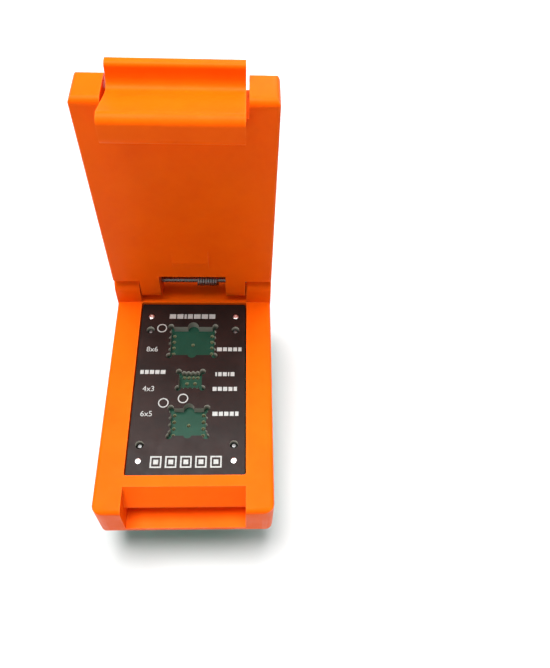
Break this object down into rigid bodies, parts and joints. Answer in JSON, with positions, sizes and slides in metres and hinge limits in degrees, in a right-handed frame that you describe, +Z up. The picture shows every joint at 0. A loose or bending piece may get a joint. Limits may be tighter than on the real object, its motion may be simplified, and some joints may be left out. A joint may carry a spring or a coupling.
{
  "type": "flip-lid test socket for eight-pad memory chips",
  "caption": "Flip-lid spring-probe test socket with a floating chip-window plate, latch tongue and a two-row pin plug for a programmer.",
  "frame": {"origin": "middle of the whole object's box, on the plane of the header pin tips, with the lid open", "axes": "+Z up through the board and the chip windows, +Y towards the hinge, +X to the right seen from the latch"},
  "size_m": [0.0292, 0.047, 0.07],
  "materials": {
    "orange_plastic": "smooth moulded orange plastic with a soft sheen",
    "black_mask": "black solder mask, satin gloss",
    "green_mask": "green solder mask, satin gloss",
    "steel": "bright nickel-plated steel",
    "gold_plate": "gold-plated contact",
    "black_plastic": "black moulded header plastic"
  },
  "bodies": {
    "base": {"base_shell": "orange_plastic", "circuit_board": "green_mask", "hinge_pin": "steel", "torsion_spring": "steel", "board_screw_1": "steel", "board_screw_2": "steel", "board_screw_3": "steel", "board_screw_4": "steel", "guide_post_1": "steel", "guide_post_2": "steel", "guide_post_3": "steel", "guide_post_4": "steel", "lift_spring_1": "steel", "lift_spring_2": "steel", "lift_spring_3": "steel", "lift_spring_4": "steel", "header_strip_left": "black_plastic", "header_strip_right": "black_plastic", "header_pin_1": "gold_plate", "header_pin_2": "gold_plate", "header_pin_3": "gold_plate", "header_pin_4": "gold_plate", "header_pin_5": "gold_plate", "header_pin_6": "gold_plate", "header_pin_7": "gold_plate", "header_pin_8": "gold_plate", "probe_wide_1": "gold_plate", "probe_wide_2": "gold_plate", "probe_wide_3": "gold_plate", "probe_wide_4": "gold_plate", "probe_wide_5": "gold_plate", "probe_wide_6": "gold_plate", "probe_wide_7": "gold_plate", "probe_wide_8": "gold_plate", "probe_wide_9": "gold_plate", "probe_small_1": "gold_plate", "probe_small_2": "gold_plate", "probe_small_3": "gold_plate", "probe_small_4": "gold_plate", "probe_small_5": "gold_plate", "probe_small_6": "gold_plate", "probe_small_7": "gold_plate", "probe_small_8": "gold_plate", "probe_small_9": "gold_plate", "probe_small_10": "gold_plate", "probe_mid_1": "gold_plate", "probe_mid_2": "gold_plate", "probe_mid_3": "gold_plate", "probe_mid_4": "gold_plate", "probe_mid_5": "gold_plate", "probe_mid_6": "gold_plate", "probe_mid_7": "gold_plate", "probe_mid_8": "gold_plate", "probe_mid_9": "gold_plate"},
    "lid": {"lid": "orange_plastic"},
    "carrier": {"window_plate": "black_mask", "probe_guide_plate": "green_mask"}
  },
  "joints": [
    {"name": "lid_hinge", "type": "hinge", "parent": "base", "child": "lid", "pos_m": [0, 0.0204, 0.0226], "axis": [1, 0, 0], "range_deg": [0, 90], "stiffness_Nm_per_rad": 0.008, "springref_deg": -28.65, "deforming": ["torsion_spring"]},
    {"name": "carrier_press", "type": "slide", "parent": "base", "child": "carrier", "axis": [0, 0, -1], "range_m": [0, 0.0008], "stiffness_N_per_m": 400, "springref_m": -0.002, "deforming": ["lift_spring_1", "lift_spring_2", "lift_spring_3", "lift_spring_4"]}
  ]
}
